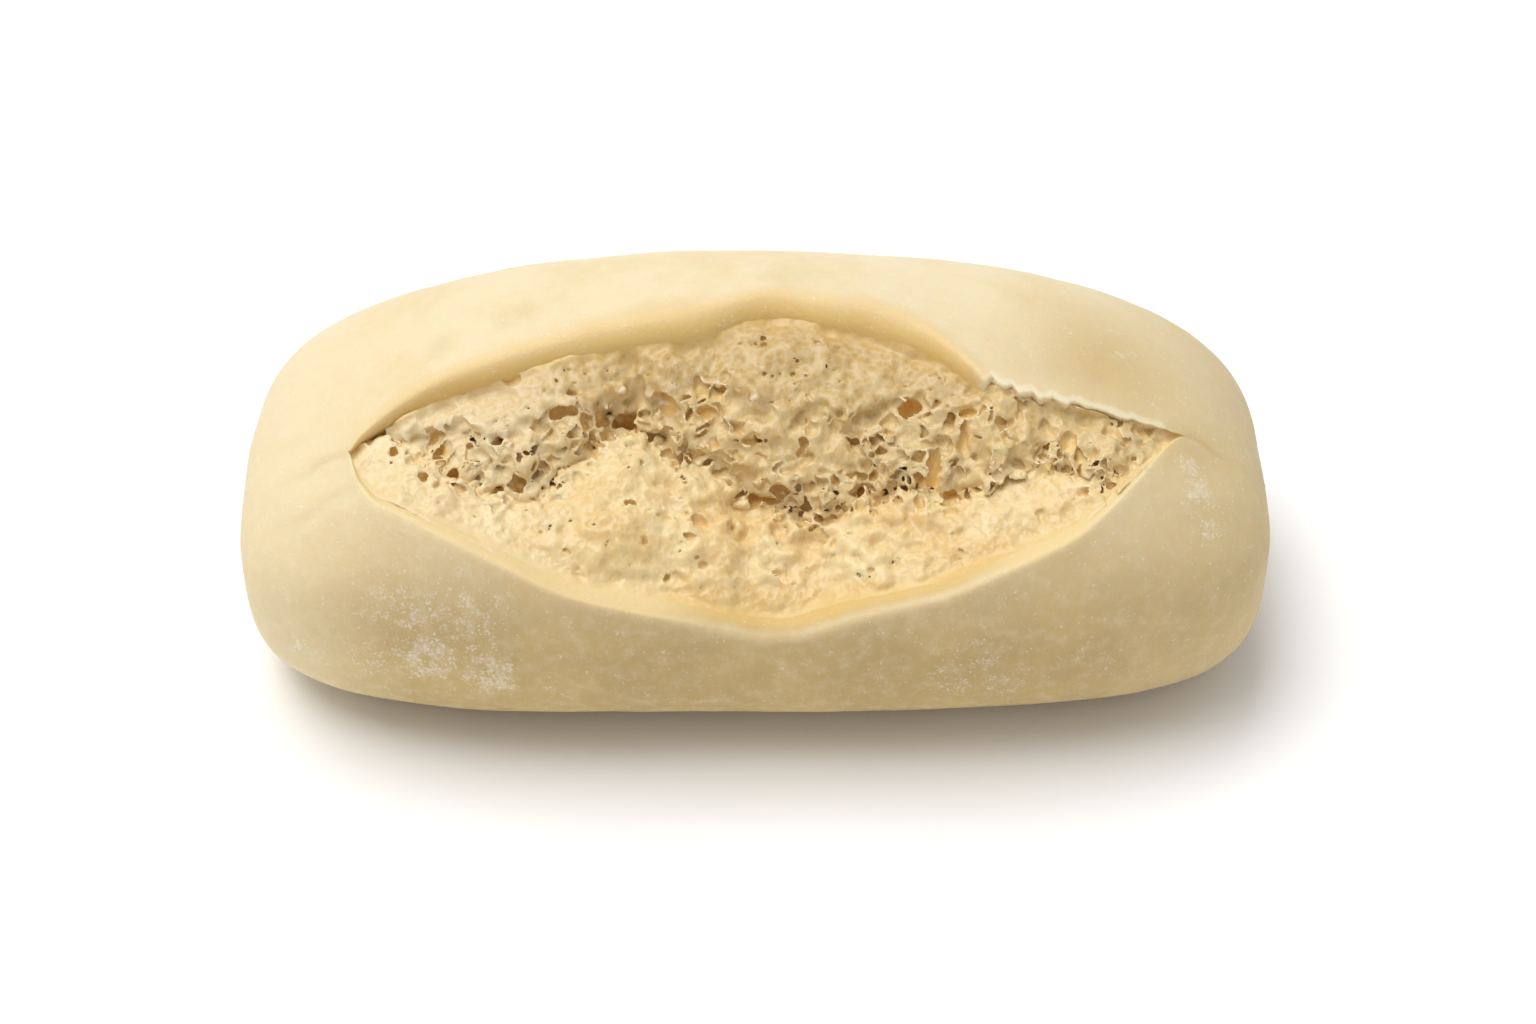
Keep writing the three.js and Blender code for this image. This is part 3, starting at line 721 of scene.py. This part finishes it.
crust = {
    "stations": [520, 260],
    "columns": 132,  # from the upper lip over the back and the sole to the lower lip
    "crowding": 0.62,  # how much closer the columns lie near the lips
    "rimColumns": 9,
    "bowlColumns": 4,
    "lowerRim": 1.1,  # radius of the lip's rounded edge
    "upperRim": 1.5,
    "tornRim": 0.34,  # at the right, where the upper lip is a thin torn edge
    "closedRim": 0.02,  # share of a rim's radius that is left past the ends of the split
    "innerRun": 1.7,  # how far the inner side of a lip slopes on before it dives into the crumb
    "innerSteps": [[0.5, 0.0], [1.0, 0.0], [1.1, 1.0]],  # points on that side, as shares of the run and the dive
    "dive": 3.0,
    "lowerSlope": 52.0,
    "upperSlope": 52.0,
    "tornSlope": 96.0,  # over 90 the torn lip is undercut
    "bowlDepth": 26.0,
    "lipSwell": 0.7,
    "lipSwellWidth": 3.5,
    "narrowest": 0.06,  # degrees between the lips past the ends of the split
    "swells": [[21.0, 0.42, 1], [9.0, 0.13, 2], [3.6, 0.045, 3], [1.5, 0.016, 4]],  # spacing, height, seed
    "jags": [[0.9, 1.0, 31], [2.3, 0.6, 32]],  # the same for the teeth of the torn lip
    "jagReach": 2.0,  # degrees
    "endFade": 12.0,
    "soleFade": [0.5, 5.0],
    "reliefTo": 2.2,  # how far down the inner sides of the lips the relief goes
    "axisBlend": [3.0, 11.0],  # distances from the axis over which the crust's own direction takes over
    "tornSwell": 0.25,  # share of the swell along the torn lip
    "creaseWave": [0.5, 0.9],  # how far a crease sways, and how fast
}

# Soft dents: [place along the roll, angle, half length, half height, depth]
dents = [
    [41, 82.5, 2.6, 2.4, 0.45], [46, 83.5, 2.2, 2.0, 0.35], [23, 104, 6, 4, 0.4], [32.7, 92, 4, 3, 0.3],
    [-58, 62, 4, 3, 0.8], [-57, 36, 6, 6, 0.6], [61, 66, 4, 4, 0.7], [60, 42, 6, 6, 0.6], [-44, 98, 4, 3, 0.35],
    [-30, 112, 9, 7, 0.5], [12, 150, 11, 9, 0.6], [-14, 172, 10, 9, 0.5], [36, 168, 9, 8, 0.5],
    [-44, 148, 8, 8, 0.6], [-61, 74, 5, 2.2, 0.5], [2, 1, 9, 2.5, 0.35],
]

# Patches of deeper tone in the crust: those on the crown's right are painted shade where the crust turns away from
# the light, and the small ones at the left are the crust's own golden marks. [place along the roll, angle, radius
# in mm, strength]
tanAndShadePatches = [
    [46, 90, 17, 0.75], [36, 84, 9, 0.4], [58, 72, 9, 0.4], [-31, 98, 3.2, 0.25], [-34, 95, 2.4, 0.2],
    [-42, 92, 3.5, 0.3], [4, 104, 6, 0.2],
]

# Where the crust's tones lie, in millimetres. The golden band by the upper lip, the golden groove and the pale
# crest are painted light and shade. A pair of shares is for the lower lip where it is rough, and smooth.
skinTones = {
    "goldenShares": [0.25, 1.0],
    "mostNearSplit": 0.65,
    "nearSplit": 4.0,
    "crestShares": [0.35, 1.0],
    "crestPlace": 0.4,
    "crestWidth": 1.7,
    "crestTo": 0.6,  # how far down the lip's inner side
    "inner": [0.03, 0.33],
    "mostGroove": 0.8,
    "groove": [0.35, 1.5],
    "tornWidth": 1.9,
    "tornTo": 3.0,
}

# Fine creases that run out of the split's ends: [from, to] as places along the roll and angles, half width, depth
creases = [
    [[-52, 66.5], [-66, 58], 0.9, 0.35],
    [[-51.5, 56], [-65, 38], 1.3, 0.40],
    [[57.3, 73.5], [65, 70], 0.8, 0.40],
    [[49.6, 58.5], [53.4, 56.6], 0.35, 0.55],
    [[52, 64], [60, 52], 1.6, 0.35],
]


def crustRelief(x, angle, place):
    # height of the crust over the plain skin: a swell along the lips, less dents and creases, plus layers of noise
    low, high = through(split["lowerLip"], x), through(split["upperLip"], x)
    opened = np.minimum(1, 2 * openness(x))
    past = np.maximum(low - angle, angle - high) * arcPerDegree
    upper = angle > (low + high) / 2
    proud = crust["lipSwell"] * opened * (1 - (1 - crust["tornSwell"]) * tornShare(x) * upper)
    height = proud * np.exp(-((np.maximum(past, 0) / crust["lipSwellWidth"]) ** 2))
    for dentX, dentAngle, halfLength, halfHeight, deep in dents:
        away = np.hypot((x - dentX) / halfLength, (angle - dentAngle) * arcPerDegree / halfHeight)
        height = height - deep * np.exp(-(away**2))
    for (fromX, fromAngle), (toX, toAngle), halfWidth, deep in creases:
        run = np.array([toX - fromX, (toAngle - fromAngle) * arcPerDegree])
        length = np.hypot(*run)
        offX, offY = x - fromX, (angle - fromAngle) * arcPerDegree
        along = (offX * run[0] + offY * run[1]) / length
        sway, pace = crust["creaseWave"]
        side = (offX * run[1] - offY * run[0]) / length + sway * np.sin(along * pace)
        ends = ease(along / 1.5 + 0.5) * ease((length - along) / (length * 0.6))
        height = height - deep * ends * np.exp(-((side / halfWidth) ** 2))
    for spacing, size, seed in crust["swells"]:
        height = height + size * softNoise(place, spacing, seed)
    return height


def makeCrust():
    # one closed grid: round the roll the columns run from the upper lip over the back and the sole to the lower
    # lip, over its rounded rim, down its inner side, across a hidden bowl and up again to the upper lip
    stations = crust["stations"][0]
    turn = np.pi * (np.arange(stations) + 0.5) / stations
    x = -roll["halfLength"] * np.cos(turn)
    x = x[:, None]
    line = np.stack([x, 0 * x, 0 * x], -1)
    jag = sum(size * softNoise(line, spacing, seed) for spacing, size, seed in crust["jags"])
    thin = tornShare(x)
    opened = openness(x)
    edge = np.minimum(1, 2 * opened)
    low = through(split["lowerLip"], x)
    high = through(split["upperLip"], x) + jag * thin * crust["jagReach"] * edge
    middle = (low + high) / 2
    half = np.maximum((high - low) / 2, crust["narrowest"] / 2)
    low, high = middle - half, middle + half

    rimShare = crust["closedRim"] + (1 - crust["closedRim"]) * edge
    lowRim = crust["lowerRim"] * rimShare
    highRim = (crust["upperRim"] * (1 - thin) + crust["tornRim"] * thin) * rimShare
    rows = []  # each as an angle and a depth, for all stations

    share = np.linspace(0, 1, crust["columns"])
    crowd = crust["crowding"] * np.sin(2 * np.pi * share) / (2 * np.pi)
    outerLow, outerHigh = low - lowRim / arcPerDegree, high + highRim / arcPerDegree
    span = outerLow + 360 - outerHigh
    ringAngle = outerHigh + span * (share - crowd)[None, :]
    rows.append((ringAngle, 0 * ringAngle))

    bend = np.linspace(0, 1, crust["rimColumns"] + 1)[1:][None, :]
    runSteps, diveSteps = np.array(crust["innerSteps"]).T
    slopeRun = crust["innerRun"] * edge * runSteps
    dive = crust["dive"] * edge * diveSteps

    def lipSide(rim, slope):
        # round the rim, on down the slope, then the dive: how far in, in degrees, and how deep
        turned = np.radians(slope) * bend
        last = turned[:, -1:]
        across = np.concatenate([rim * np.sin(turned), rim * np.sin(last) + slopeRun * np.cos(last)], 1)
        down = [rim * (1 - np.cos(turned)), rim * (1 - np.cos(last)) + slopeRun * np.sin(last) + dive]
        return across / arcPerDegree, np.concatenate(down, 1) * np.minimum(1, 4 * edge)

    acrossLow, downLow = lipSide(lowRim, crust["lowerSlope"] + 0 * x)
    acrossHigh, downHigh = lipSide(highRim, crust["upperSlope"] * (1 - thin) + crust["tornSlope"] * thin)
    lowAngle, highAngle = outerLow + acrossLow, outerHigh - acrossHigh
    rows.append((lowAngle, downLow))
    bowl = np.linspace(0, 1, crust["bowlColumns"] + 2)[1:-1][None, :]
    endLow, endHigh = downLow[:, -1:], downHigh[:, -1:]
    bowlAngle = lowAngle[:, -1:] + (highAngle[:, -1:] - lowAngle[:, -1:]) * bowl
    bowlDepth = endLow + (endHigh - endLow) * bowl + crust["bowlDepth"] * opened * np.sqrt(4 * bowl * (1 - bowl))
    rows.append((bowlAngle, bowlDepth))
    rows.append((highAngle[:, ::-1], downHigh[:, ::-1]))

    angle = np.concatenate([row[0] for row in rows], 1)
    sunk = np.concatenate([row[1] for row in rows], 1)
    wrapped = np.where(angle > 270, angle - 360, angle)
    x = x + 0 * angle
    y, z = wholeSkin(x, wrapped)
    skin = np.stack([x, y, z], -1)
    out = np.stack([0 * x, y, z - roll["axisHeight"]], -1)
    reach = np.linalg.norm(out, axis=-1)
    out /= np.maximum(reach, 1e-6)[..., None]

    alongStep = np.gradient(skin, axis=0)
    roundStep = np.roll(skin, -1, 1) - np.roll(skin, 1, 1)
    normal = np.cross(roundStep, alongStep)
    normal /= np.maximum(np.linalg.norm(normal, axis=-1), 1e-9)[..., None]
    normal *= np.sign((normal * (skin - [0, 0, roll["axisHeight"]])).sum(-1))[..., None]
    near = over(crust["axisBlend"], reach)[..., None]
    normal = normal * (1 - near) + out * near  # the crust's own direction at the ends, else away from the axis
    relief = crustRelief(x, wrapped, skin)
    relief = relief * over(crust["soleFade"], z) * ease(crust["reliefTo"] - sunk)
    points = skin + normal * relief[..., None] - out * (sunk * np.minimum(1, reach / crust["endFade"]))[..., None]
    points[..., 2] = np.maximum(points[..., 2], 0)

    tips = [[side * roll["halfLength"], 0, roll["axisHeight"]] for side in (-1, 1)]
    columns = points.shape[1]
    number = np.arange(stations * columns).reshape(stations, columns)
    after = np.roll(number, -1, 1)
    quads = np.stack([number[:-1], number[1:], after[1:], after[:-1]], -1).reshape(-1, 4)
    firstTip, lastTip = stations * columns, stations * columns + 1
    caps = np.concatenate([
        np.stack([number[0], after[0], np.full(columns, firstTip)], 1),
        np.stack([after[-1], number[-1], np.full(columns, lastTip)], 1),
    ])
    points = np.concatenate([points.reshape(-1, 3), tips])
    piece = meshObject("roll_crust", points, quads, caps)
    lowLine, highLine = through(split["lowerLip"], x), through(split["upperLip"], x)
    past = np.maximum(lowLine - wrapped, wrapped - highLine) * arcPerDegree
    upperSide = wrapped > (lowLine + highLine) / 2
    marks = skinTones
    opened, thin, calm = openness(x), tornShare(x), smoothShare(x)
    edge = np.minimum(1, 2 * opened)
    golden = np.where(upperSide, 1 - thin, between(marks["goldenShares"], calm))
    # painted shade: a golden band where the upper lip rolls over into the split
    nearSplit = marks["mostNearSplit"] * ease(1 - past / marks["nearSplit"]) * edge * (1 - thin) * upperSide
    # painted shade on the crown's right, and the crust's own golden marks at the left
    tanAndShade = 0 * x
    for patchX, patchAngle, radius, strength in tanAndShadePatches:
        away = np.hypot(x - patchX, (wrapped - patchAngle) * arcPerDegree) / radius
        tanAndShade = np.maximum(tanAndShade, strength * ease(1 - away))
    # partly painted highlight: the lower lip's crest catches the light, over the paler tone of its stretched crust
    crest = ease(1 - np.abs(past - marks["crestPlace"]) / marks["crestWidth"]) * edge * ~upperSide
    crest = crest * (sunk < marks["crestTo"]) * between(marks["crestShares"], calm)
    inner = over(marks["inner"], sunk) * ~upperSide * (1 - calm)
    # painted shade: the golden groove on the inner sides of the lips
    groove = marks["mostGroove"] * golden * over(marks["groove"], sunk)
    tornEdge = thin * ease(1 - np.abs(wrapped - high) * arcPerDegree / marks["tornWidth"])
    tornEdge = tornEdge * (sunk < marks["tornTo"]) * ease(5 * opened)
    paint(piece, {"sunk": sunk, "tanAndShade": tanAndShade, "groove": groove, "nearSplit": nearSplit, "crest": crest,
                  "inner": inner, "tornEdge": tornEdge}, [0, 0])
    report(f"roll_crust: {len(quads) * 2 + len(caps)} triangles")
    return piece


# Materials

def linear(hexColour):
    # an sRGB hex value as linear red, green, blue and alpha
    parts = [int(hexColour[i:i + 2], 16) / 255 for i in (1, 3, 5)]
    return [c / 12.92 if c <= 0.04045 else ((c + 0.055) / 1.055) ** 2.4 for c in parts] + [1.0]


def feed(node, inputs):
    # each input gets either a value or the socket that feeds it
    for name, value in inputs.items():
        if isinstance(value, bpy.types.NodeSocket):
            node.id_data.links.new(value, node.inputs[name])
        else:
            node.inputs[name].default_value = value


def addNode(tree, kind, inputs, output=0, **settings):
    # one node with its inputs and settings. Gives an output socket.
    node = tree.nodes.new("ShaderNode" + kind)
    for name, value in settings.items():
        setattr(node, name, value)
    feed(node, inputs)
    return node.outputs[output]


def layered(tree, tone, layers):
    # lays colours over a first tone. Each layer is a pattern, a range, a limit and a colour. Its share climbs
    # smoothly from 0 to the limit over the range, or is the pattern times the limit where there is no range.
    for pattern, span, limit, colour in layers:
        share = pattern
        if span:
            share = addNode(tree, "MapRange", {0: pattern, 1: span[0], 2: span[1], 4: limit}, **smooth)
        elif limit < 1:
            share = addNode(tree, "Math", {0: pattern, 1: limit}, operation="MULTIPLY")
        tone = addNode(tree, "Mix", {0: share, 6: tone, 7: linear(colour)}, **blend)
    return tone


def newMaterial(name):
    material = bpy.data.materials.new(name)
    material.use_nodes = True
    return material, material.node_tree


def finishMaterial(tree, grains, inputs):
    # gives the surface its grain, in layers of height, strength and depth in metres, and its other inputs
    normal = {}
    for height, strength, depth in grains:
        grain = {"Height": height, "Strength": strength, "Distance": depth}
        normal = {"Normal": addNode(tree, "Bump", {**grain, **normal})}
    feed(tree.nodes["Principled BSDF"], {**inputs, **normal})


blend = {"output": 2, "data_type": "RGBA"}  # a colour mix: inputs 0 share, 6 and 7 colours
smooth = {"interpolation_type": "SMOOTHSTEP"}  # a range: inputs 0 value, 1 and 2 from, 3 and 4 to

# Flour left on the crust: [place along the roll, angle, radius in mm, strength]
flour = [
    [-46, 13, 8, 0.55], [-38, 9, 9, 0.6], [-43, -2, 7, 0.9], [-35, -6, 6, 0.9], [-51, -6, 5, 0.6],
    [-60, -10, 5, 0.5], [29, -2, 6, 0.5], [26, -9, 5, 0.6], [33, -12, 5, 0.5],
    [57.6, 63.4, 3.2, 0.9], [58.7, 55.2, 3.4, 1.0], [59.3, 49.9, 3.0, 0.8], [60, 42, 4.0, 0.6], [50, 93, 3.0, 0.5],
]


def paleCrust():
    # unbrowned wheat crust, steamed and only just set: a pale skin that light sinks into, with a faint satin and
    # loose flour where it was handled. Painted shade darkens its sides and the crown's right, and painted light
    # brightens its left end.
    material, tree = newMaterial("pale_unbrowned_wheat_crust")
    place = addNode(tree, "TexCoord", {}, "Object")
    endward, height = (addNode(tree, "SeparateXYZ", {0: place}, name) for name in "XZ")
    sunk, groove, nearSplit, tornEdge, tanAndShade, crest, inner = (
        addNode(tree, "Attribute", {}, "Fac", attribute_name=name)
        for name in ("sunk", "groove", "nearSplit", "tornEdge", "tanAndShade", "crest", "inner")
    )
    # noise, each as its spacing in millimetres, its detail and its roughness
    blotch, mottle, fine, grain, clump = (
        addNode(tree, "TexNoise", {"Vector": place, "Scale": 1000 / spacing, "Detail": detail, "Roughness": rough})
        for spacing, detail, rough in ((11, 3, 0.55), (2.2, 4, 0.6), (0.5, 3, 0.6), (0.42, 2, 0.7), (1.7, 2, 0.6))
    )
    ragged = addNode(tree, "Math", {0: mottle, 1: 1.4, 2: tornEdge}, operation="MULTIPLY_ADD")
    # cream, with metres in the ranges of height and endward
    tone = layered(tree, linear("#ecdab3"), [
        (height, (0.046, 0.020), 1, "#c1a774"),  # painted shade: deeper on the sides, which face away from the light above
        (blotch, (0.40, 0.68), 0.35, "#dcc186"),
        (mottle, (0.42, 0.70), 0.22, "#eadcbc"),
        (endward, (0.040, 0.066), 0.5, "#d8c294"),  # painted shade and light: duller at the right end, away from the light, and paler at the left one, which faces it
        (endward, (-0.044, -0.064), 0.6, "#f0dfb8"),
        # painted shade on the crown's right, and the crust's own golden marks at the left
        (tanAndShade, None, 1, "#d0b57e"),
        (nearSplit, None, 1, "#e3c281"),  # painted shade, golden, where the upper lip rolls over into the split, and in the groove inside the lips
        # painted shade: the golden groove inside the lips
        (groove, None, 1, "#dfbb70"),
        (inner, None, 1, "#e8cf98"),  # the crumb's own tone where crumb is rough up to the lip
        # partly painted highlight on the lower lip's crest, over its own paler stretched crust
        (crest, None, 0.36, "#f6e7c0"),
        (ragged, (0.85, 1.5), 0.65, "#f3e6c8"),
    ])
    # flour: fine noise over a level that drops inside each patch by its strength
    dusted = None
    for x, angle, radius, strength in flour:
        y, z = wholeSkin(np.array(float(x)), np.array(float(angle)))
        spot = (x / 1000, float(y) / 1000, float(z) / 1000)
        away = addNode(tree, "VectorMath", {0: place, 1: spot}, "Value", operation="DISTANCE")
        share = addNode(tree, "MapRange", {0: away, 1: radius / 1000, 2: radius / 4000, 4: strength}, **smooth)
        dusted = share if dusted is None else addNode(tree, "Math", {0: dusted, 1: share}, operation="MAXIMUM")
    level = addNode(tree, "Math", {0: clump, 1: 0.45, 2: grain}, operation="MULTIPLY_ADD")
    level = addNode(tree, "Math", {0: dusted, 1: 0.17, 2: level}, operation="MULTIPLY_ADD")
    powder = addNode(tree, "MapRange", {0: level, 1: 0.86, 2: 1.0, 4: 0.5}, **smooth)
    smear = addNode(tree, "Math", {0: dusted, 1: 0.30, 2: clump}, operation="MULTIPLY_ADD")
    smear = addNode(tree, "MapRange", {0: smear, 1: 0.64, 2: 0.96, 4: 0.26}, **smooth)
    powder = addNode(tree, "Math", {0: powder, 1: smear}, operation="MAXIMUM")
    specks = addNode(tree, "TexVoronoi", {"Vector": place, "Scale": 1000 / 2.4}, feature="F1")
    specks = addNode(tree, "MapRange", {0: specks, 1: 0.075, 2: 0.03, 4: 0.45}, **smooth)
    powder = addNode(tree, "Math", {0: powder, 1: specks}, operation="MAXIMUM")
    tone = addNode(tree, "Mix", {0: powder, 6: tone, 7: linear("#f3efe3")}, **blend)
    # no light sinks into the inner sides of the lips, so that none is lost where they run into the crumb
    soft = addNode(tree, "MapRange", {0: sunk, 1: 0.2, 2: 1.4, 3: 0.7, 4: 0.0}, **smooth)
    finishMaterial(tree, [(mottle, 0.45, 0.0004), (fine, 0.40, 0.00015), (powder, 0.40, 0.0001)], {
        "Base Color": tone, "Roughness": 0.62, "IOR": 1.42, "Specular IOR Level": 0.35,
        "Subsurface Weight": soft, "Subsurface Radius": (1.0, 0.62, 0.30), "Subsurface Scale": 0.0022,
    })
    return material


def tornCrumb():
    # moist white wheat crumb, torn: glossy cell walls so thin that light passes them, golden in the deep cells
    # where light has bounced many times, and nearly white on the torn edges, with painted light glowing through
    # them. The wall and the grooves by the lips carry painted shade.
    material, tree = newMaterial("torn_moist_wheat_crumb")
    place = addNode(tree, "TexCoord", {}, "Object")
    pit, ridge, nearLip, groove, wall, soft, pale = (
        addNode(tree, "Attribute", {}, "Fac", attribute_name=name)
        for name in ("pit", "ridge", "nearLip", "groove", "wall", "soft", "pale")
    )
    blotch, fine = (
        addNode(tree, "TexNoise", {"Vector": place, "Scale": 1000 / spacing, "Detail": detail, "Roughness": rough})
        for spacing, detail, rough in ((8, 3, 0.5), (0.5, 4, 0.65))
    )
    bent = addNode(tree, "TexNoise", {"Vector": place, "Scale": 1000 / 0.9, "Detail": 1.0}, "Color")
    bent = addNode(tree, "VectorMath", {0: bent, 1: (0.0006, 0.0006, 0.0006), 2: place}, operation="MULTIPLY_ADD")
    # small cells, drawn out upwards: the distance from the nearest of many scattered centres, low in each cell and
    # high on its walls
    bent = addNode(tree, "VectorMath", {0: bent, 1: (1.0, 1.0, 0.55)}, operation="MULTIPLY")
    cells = addNode(tree, "TexVoronoi", {"Vector": bent, "Scale": 1000 / 1.0}, feature="F1")
    tone = layered(tree, linear("#ebd29b"), [
        (blotch, (0.35, 0.65), 1, "#e5c485"),
        # painted shade: the wall faces away from the light, under the upper lip
        (wall, None, 1, "#c8a668"),
        (pale, None, 1, "#f3e2bb"),
        (cells, (0.25, 0.75), 0.24, "#f1e3c0"),
        # painted shade: the golden groove behind the lips
        (groove, None, 0.75, "#dfbb70"),
        (pit, (0.15, 1.7), 0.8, "#efd194"),  # pits are pale too: light turns golden as it bounces in them
        (pit, (1.0, 2.6), 0.85, "#f7d284"),
        # partly painted light: the thin torn edges glow with light passing through them, over their own paler tone
        (ridge, (0.012, 0.07), 0.6, "#f8ecd0"),
    ])
    # the grain is calm by the lips, and half as strong on the wall. Light sinks only into the bed.
    busy = addNode(tree, "MapRange", {0: wall, 1: 0.5, 2: 1.0, 3: 1.0, 4: 0.5}, **smooth)
    calm = addNode(tree, "MapRange", {0: nearLip, 1: 0.4, 2: 2.2}, **smooth)
    busy = addNode(tree, "Math", {0: calm, 1: busy}, operation="MULTIPLY")
    finishMaterial(tree, [(cells, busy, 0.00022), (fine, 0.4, 0.00012)], {
        "Base Color": tone, "Roughness": 0.34, "IOR": 1.42, "Specular IOR Level": 0.55,
        "Subsurface Weight": soft, "Subsurface Radius": (1.0, 0.88, 0.70), "Subsurface Scale": 0.0014,
    })
    return material


def studioWhite():
    # a seamless white studio table
    material, tree = newMaterial("white_studio_table")
    finishMaterial(tree, [], {"Base Color": linear("#ffffff"), "Roughness": 0.9, "Specular IOR Level": 0.1})
    return material


crustPiece = makeCrust()
crumbPiece = makeCrumb()
crustPiece.data.materials.append(paleCrust())
crumbPiece.data.materials.clear()
crumbPiece.data.materials.append(tornCrumb())
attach(crumbPiece, "root")
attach(crustPiece, "root")
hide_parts("bread_roll")

# Studio

studio = {
    "floorSize": 6.0,
    "cameraHeightAngle": 40.0,
    "cameraDistance": 0.50396,
    "cameraAim": [0.001706, 0.0, 0.016655],
    "focalLength": 85.0,
    "world": 0.48,
    "softbox": {"place": [-2.1, 0.6, 5.0], "size": 4.8, "power": 310.0},
}


def makeStudio():
    size = studio["floorSize"] / 2
    mesh = bpy.data.meshes.new("studio_floor")
    mesh.from_pydata([(-size, -size, 0), (size, -size, 0), (size, size, 0), (-size, size, 0)], [], [(0, 1, 2, 3)])
    mesh.materials.append(studioWhite())
    floor = addObject("studio_floor", mesh)

    tilt = math.radians(studio["cameraHeightAngle"])
    camera = addObject("camera", bpy.data.cameras.new("camera"))
    aim, distance = studio["cameraAim"], studio["cameraDistance"]
    camera.location = (aim[0], aim[1] - distance * math.cos(tilt), aim[2] + distance * math.sin(tilt))
    camera.rotation_euler = (math.pi / 2 - tilt, 0, 0)
    camera.data.lens = studio["focalLength"]
    camera.data.sensor_width = 36
    camera.data.clip_start = 0.01
    bpy.context.scene.camera = camera

    box = studio["softbox"]
    light = addObject("softbox", bpy.data.lights.new("softbox", "AREA"))
    light.data.size = box["size"]
    light.data.energy = box["power"]
    light.location = box["place"]
    x, y, z = box["place"]
    light.rotation_euler = (math.atan2(math.hypot(x, y), z), 0, math.atan2(y, x) + math.pi / 2 + math.pi)

    world = bpy.data.worlds.new("studio_air")
    world.use_nodes = True
    feed(world.node_tree.nodes["Background"], {"Color": (1, 1, 1, 1), "Strength": studio["world"]})
    bpy.context.scene.world = world
    bpy.context.scene.view_settings.view_transform = "Standard"


makeStudio()
report("studio lit")
